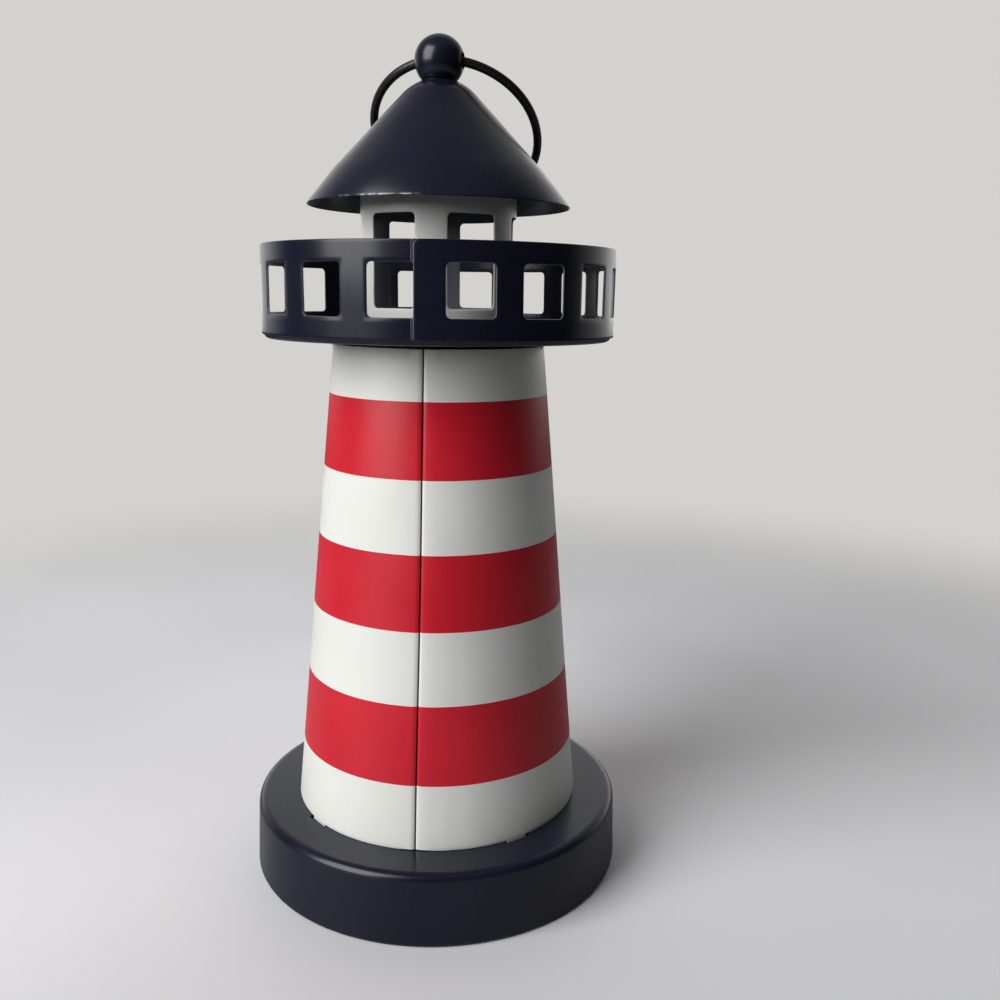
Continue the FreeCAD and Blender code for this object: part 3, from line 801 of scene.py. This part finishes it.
def roof_cone():
    """The pressed cone: steeper at its edge, rounded at its top, with a short neck."""
    rim = Vector((ROOF_HIGH.x, ROOF_LOW.z + SHEET * math.cos(ROOF_LIP_SLOPE)))
    up_lip = Vector((-math.cos(ROOF_LIP_SLOPE), math.sin(ROOF_LIP_SLOPE)))
    foot = rim + up_lip * ROOF_LIP_SLANT
    dome_corner = ROOF_DOME_RADIUS * math.tan(ROOF_SLOPE / 2)
    dome_top = foot.y + (foot.x - dome_corner) * math.tan(ROOF_SLOPE)
    dome_centre = dome_top - ROOF_DOME_RADIUS

    def on_dome(angle):
        return (ROOF_DOME_RADIUS * math.sin(angle), dome_centre + ROOF_DOME_RADIUS * math.cos(angle))

    neck = math.asin(NECK_RADIUS / ROOF_DOME_RADIUS)
    dome = [on_dome(angle) for angle in spread(ROOF_SLOPE, neck, DOME_STEPS)]
    line = [rim + up_lip * RIM_INSET, foot] + dome + [(NECK_RADIUS, ROOF_HIGH.z - SHEET / 2)]
    radii = [ROOF_LIP_BEND] + [0.0] * (len(dome) - 1) + [NECK_FILLET]
    loop = sheet_loop(line, radii)
    skin = Skin()
    rows = []
    for azimuth in spread(0, 2 * math.pi, ROOF_SEGMENTS)[:-1]:
        rows.append(skin.row([on_circle(azimuth, p.x, p.y) for p in loop]))
    skin.join_rows(rows, closed=True, round_again=True)
    skin.piece("roof", "roof_cone")


def easing(distance, run):
    """1 at the seam, easing off to 0 at the end of this run."""
    return max(1 - distance / run, 0) ** 2


def seam_depth(s):
    """Depth of the tower's outer skin below the cone, this far right of the seam."""
    if s < 0:
        cleft = smooth(s, *CLEFT_EDGES)
        return GROOVE_DEPTH * easing(-s, GROOVE_RUN) + CLEFT_DEPTH * cleft
    rounding = 1 - math.sqrt(1 - easing(s, EDGE_RUN))
    return EDGE_DEPTH * rounding + SINK_DEPTH * easing(s, SINK_RUN)


def seam_back(s):
    """Depth of the inner skin below the cone: one sheet, and the fold behind the seam."""
    near = 1 - smooth(abs(s), *FOLD_EDGES)
    return SHEET + (FOLD_DEPTH - SHEET) * near


def tower_radius(z):
    share = (z - BASE_TOP) / (TOWER_TOP - BASE_TOP)
    return TOWER_BOTTOM_RADIUS + (TOWER_TOP_RADIUS - TOWER_BOTTOM_RADIUS) * share


def seam_offsets():
    """Distances from the seam at which the tower's skin has a column of points, closer near it."""
    beyond = [2.4, 3.2, 3.8, 4.4, 5.8, 7.4, 9.0]
    left = [0.02, 0.1, 0.2, 0.3, 0.45, 0.6, 0.8, 1.0, 1.25, 1.5, 1.9] + beyond
    right = [0.0, 0.02, 0.07, 0.14, 0.24, 0.38, 0.55, 0.75, 0.95, 1.2, 1.7] + beyond
    return [-s * MM for s in left[::-1]] + [s * MM for s in right]


def seam_azimuth(z, s):
    """Azimuth of a point this far right of the seam, which drifts a little left towards the foot."""
    drift = SEAM_DRIFT * (1 - smooth(z, BASE_TOP, SEAM_STRAIGHT_ABOVE))
    return SEAM_AZIMUTH + (s - drift) / tower_radius(z)


def back_azimuths():
    """Azimuths of the columns away from the seam, with a pair at each side of each base tab."""
    azimuths = spread(SEAM_AZIMUTH + SEAM_CLEAR, SEAM_AZIMUTH + 2 * math.pi - SEAM_CLEAR, WALL_COLUMNS)
    half = TAB_WIDTH / 2 / TOWER_BOTTOM_RADIUS
    side = 0.05 * MM / TOWER_BOTTOM_RADIUS
    for tab in BASE_TABS:
        centre = tab % (2 * math.pi)
        azimuths = [a for a in azimuths if abs(abs(a - centre) - half) > 3 * side]
        azimuths += [centre + sign * (half + step) for sign in (-1, 1) for step in (-side, side)]
    return sorted(azimuths)


def in_base_tab(azimuth):
    half = TAB_WIDTH / 2 / TOWER_BOTTOM_RADIUS
    return any(abs((azimuth - tab + math.pi) % (2 * math.pi) - math.pi) < half for tab in BASE_TABS)


def wall_waviness(azimuth, z):
    """The rolled cone isn't quite round."""
    return 0.04 * MM * math.sin(2 * azimuth + 30 * z) + 0.03 * MM * math.sin(5 * azimuth - 45 * z)


def tower_column(skin, azimuth_at, s, tab):
    """One closed up-and-down section of the tower's wall."""
    end = SHEET / 2
    bottom = BASE_TOP - BASE_SHEET if tab else BASE_TOP + end
    next_up = BASE_TOP + 1.2 * MM
    levels = [bottom] + spread(next_up, TOWER_TOP - end, WALL_LEVELS)
    depth = seam_depth(s)
    back = seam_back(s)
    outer = [Vector((tower_radius(z) - depth, z)) for z in levels]
    inner = [Vector((tower_radius(z) - back, z)) for z in levels[::-1]]
    loop = (
        outer
        + round_end(outer[-1], inner[0], Vector((0, 1)), end)
        + inner
        + round_end(inner[-1], outer[0], Vector((0, -1)), end)
    )
    points = []
    for radius, z in loop:
        azimuth = azimuth_at(z)
        points.append(on_circle(azimuth, radius + wall_waviness(azimuth, z), z))
    return skin.row(points)


def tower_shell():
    """The striped cone with its seam, and its tabs."""
    skin = Skin()
    rows = []
    for s in seam_offsets():
        rows.append(tower_column(skin, lambda z, s=s: seam_azimuth(z, s), s, False))
    far = seam_offsets()[-1]
    for azimuth in back_azimuths():
        rows.append(tower_column(skin, lambda z, a=azimuth: a, far, in_base_tab(azimuth)))
    skin.join_rows(rows, closed=True, round_again=True)

    outer = TOWER_BOTTOM_RADIUS
    under = BASE_TOP - BASE_SHEET - TAB_GAP - SHEET
    line = [(outer - TAB_LEG, under), (outer, under), (outer, BASE_TOP - SHEET)]
    for azimuth in BASE_TABS:
        bent_strip(skin, line, [TAB_BEND], TAB_WIDTH, azimuth)

    inner = TOWER_TOP_RADIUS - SHEET
    over = FLOOR_UNDER + 2 * SHEET + TAB_GAP
    line = [(inner + TAB_LEG, over), (inner, over), (inner, TOWER_TOP)]
    shoulder = [(TOWER_TOP_RADIUS, TOWER_TOP - SHEET), (TOWER_TOP_RADIUS, FLOOR_UNDER - SHOULDER_DROP)]
    for azimuth in TOP_TABS:
        bent_strip(skin, line, [TOP_TAB_BEND], TAB_WIDTH, azimuth)
        bent_strip(skin, shoulder, [], SHOULDER_WIDTH, azimuth)
    skin.piece("tower", "tower_shell")


def handle_ring():
    """The wire ring through the ball, its two ends meeting at the far side."""
    start = RING_JOINT_GAP / 2 / RING_RADIUS
    rounding = WIRE_EDGE / RING_RADIUS
    place = (
        Matrix.Translation(Vector((0, 0, BALL_CENTRE)))
        @ Matrix.Rotation(math.pi / 2 - RING_TWIST, 4, "Z")
        @ Matrix.Rotation(math.pi / 2 - RING_LEAN, 4, "Y")
        @ Matrix.Translation(Vector((RING_RADIUS - WIRE_BOW, 0, 0)))
    )
    skin = Skin()

    def section(turn, wire):
        out = Vector((math.cos(turn), math.sin(turn), 0))
        points = []
        for a in spread(0, 2 * math.pi, WIRE_POINTS)[:-1]:
            point = out * (RING_RADIUS + wire * math.cos(a)) + Vector((0, 0, wire * math.sin(a)))
            points.append(place @ point)
        return skin.row(points)

    rows = [section(start, WIRE_RADIUS - WIRE_EDGE)]
    for turn in spread(start + rounding, 2 * math.pi - start - rounding, RING_STEPS):
        rows.append(section(turn, WIRE_RADIUS))
    rows.append(section(2 * math.pi - start, WIRE_RADIUS - WIRE_EDGE))
    skin.rod(rows)
    skin.piece("ring", "handle_ring")


def dress_cad_nodes():
    """The paint of every CAD node, as the record's slots say."""
    for name, node in NODES.items():
        node.data.materials.clear()
        node.data.materials.append(MATERIALS[SLOTS[name]])


# ---------------------------------------------------------------- camera, light and floor


def make_camera():
    forward = Vector((
        math.sin(CAMERA_YAW) * math.cos(CAMERA_PITCH),
        math.cos(CAMERA_YAW) * math.cos(CAMERA_PITCH),
        -math.sin(CAMERA_PITCH),
    ))
    level = Vector((math.cos(CAMERA_YAW), -math.sin(CAMERA_YAW), 0))
    upright = level.cross(forward)
    right = level * math.cos(CAMERA_ROLL) + upright * math.sin(CAMERA_ROLL)
    up = upright * math.cos(CAMERA_ROLL) - level * math.sin(CAMERA_ROLL)
    data = bpy.data.cameras.new("camera")
    data.lens = CAMERA_LENS
    data.sensor_width = CAMERA_SENSOR
    data.clip_start = 0.01
    camera = bpy.data.objects.new("camera", data)
    turn = Matrix((right, up, -forward)).transposed()
    camera.matrix_world = Matrix.Translation(CAMERA_PLACE) @ turn.to_4x4()
    bpy.context.scene.collection.objects.link(camera)
    bpy.context.scene.camera = camera


def make_key_light(azimuth, elevation, distance, width, height, power):
    """A soft box that faces the lantern's middle."""
    middle = Vector((0, 0, 0.11))
    around = math.radians(azimuth)
    rise = math.radians(elevation)
    out = on_circle(around, math.cos(rise), math.sin(rise))
    data = bpy.data.lights.new("key", "AREA")
    data.shape = "RECTANGLE"
    data.size = width
    data.size_y = height
    data.energy = power
    lamp = bpy.data.objects.new("key", data)
    lamp.location = middle + out * distance
    lamp.rotation_mode = "QUATERNION"
    lamp.rotation_quaternion = (-out).to_track_quat("-Z", "Y")
    lamp.visible_camera = False
    bpy.context.scene.collection.objects.link(lamp)


def make_world():
    """Soft light from behind, dimmer high up, with a little from overhead, and a pale backdrop."""
    world = bpy.data.worlds.new("world")
    world.use_nodes = True
    sky = Tree(world.node_tree)
    direction = sky.add("TexCoord")["Generated"]
    behind = sky.add("VectorMath", direction, (0.12, 1.0, 0.0), operation="DOT_PRODUCT")[1]
    height = sky.add("SeparateXYZ", direction)[2]
    from_behind = sky.step(behind, 0.1, 0.95, 0.03, 1.4)
    dim = sky.ramp(height, 0.15, 0.55, 1.0, 0.35)
    overhead = sky.ramp(height, 0.5, 0.9, 0.0, 0.12)
    strength = sky.math("ADD", sky.product(from_behind, dim), overhead)
    light = sky.add("Emission", None, strength)[0]
    background = sky.tree.nodes["Background"]
    background.inputs["Color"].default_value = BACKDROP
    camera_ray = sky.add("LightPath")["Is Camera Ray"]
    seen = sky.add("MixShader", camera_ray, light, background.outputs[0])[0]
    sky.tree.links.new(seen, sky.tree.nodes["World Output"].inputs["Surface"])
    bpy.context.scene.world = world


def make_floor():
    """A pale floor, which runs into the backdrop with distance."""
    size = 4.0
    mesh = bpy.data.meshes.new("floor")
    corners = [(-size, -size, 0), (size, -size, 0), (size, size, 0), (-size, size, 0)]
    mesh.from_pydata(corners, [], [(0, 1, 2, 3)])
    floor = bpy.data.objects.new("floor", mesh)
    bpy.context.scene.collection.objects.link(floor)
    paint = Paint("floor_paint", 0.6, specular=0.2)
    distance = paint.add("VectorMath", paint.place, operation="LENGTH")[1]
    far = paint.step(distance, 0.28, 0.6)
    camera_ray = paint.add("LightPath")["Is Camera Ray"]
    bounce = paint.mix(far, NEAR_BOUNCE, FAR_BOUNCE)
    tone = paint.mix(paint.cloud(3.0), *FLOOR)
    paint.set("Base Color", paint.mix(camera_ray, bounce, tone))
    backdrop = paint.add("Emission", BACKDROP, 1.0)[0]
    seen = paint.product(far, camera_ray)
    mixed = paint.add("MixShader", seen, paint.shader.outputs[0], backdrop)[0]
    paint.tree.links.new(mixed, paint.tree.nodes["Material Output"].inputs["Surface"])
    mesh.materials.append(paint.material)


dress_cad_nodes()
tower_shell()
gallery_railing()
lantern_room()
roof_cone()
handle_ring()
make_camera()
make_world()
make_floor()
make_key_light(azimuth=-56, elevation=29, distance=1.2, width=0.85, height=1.1, power=17.6)
bpy.context.scene.view_settings.view_transform = "Standard"
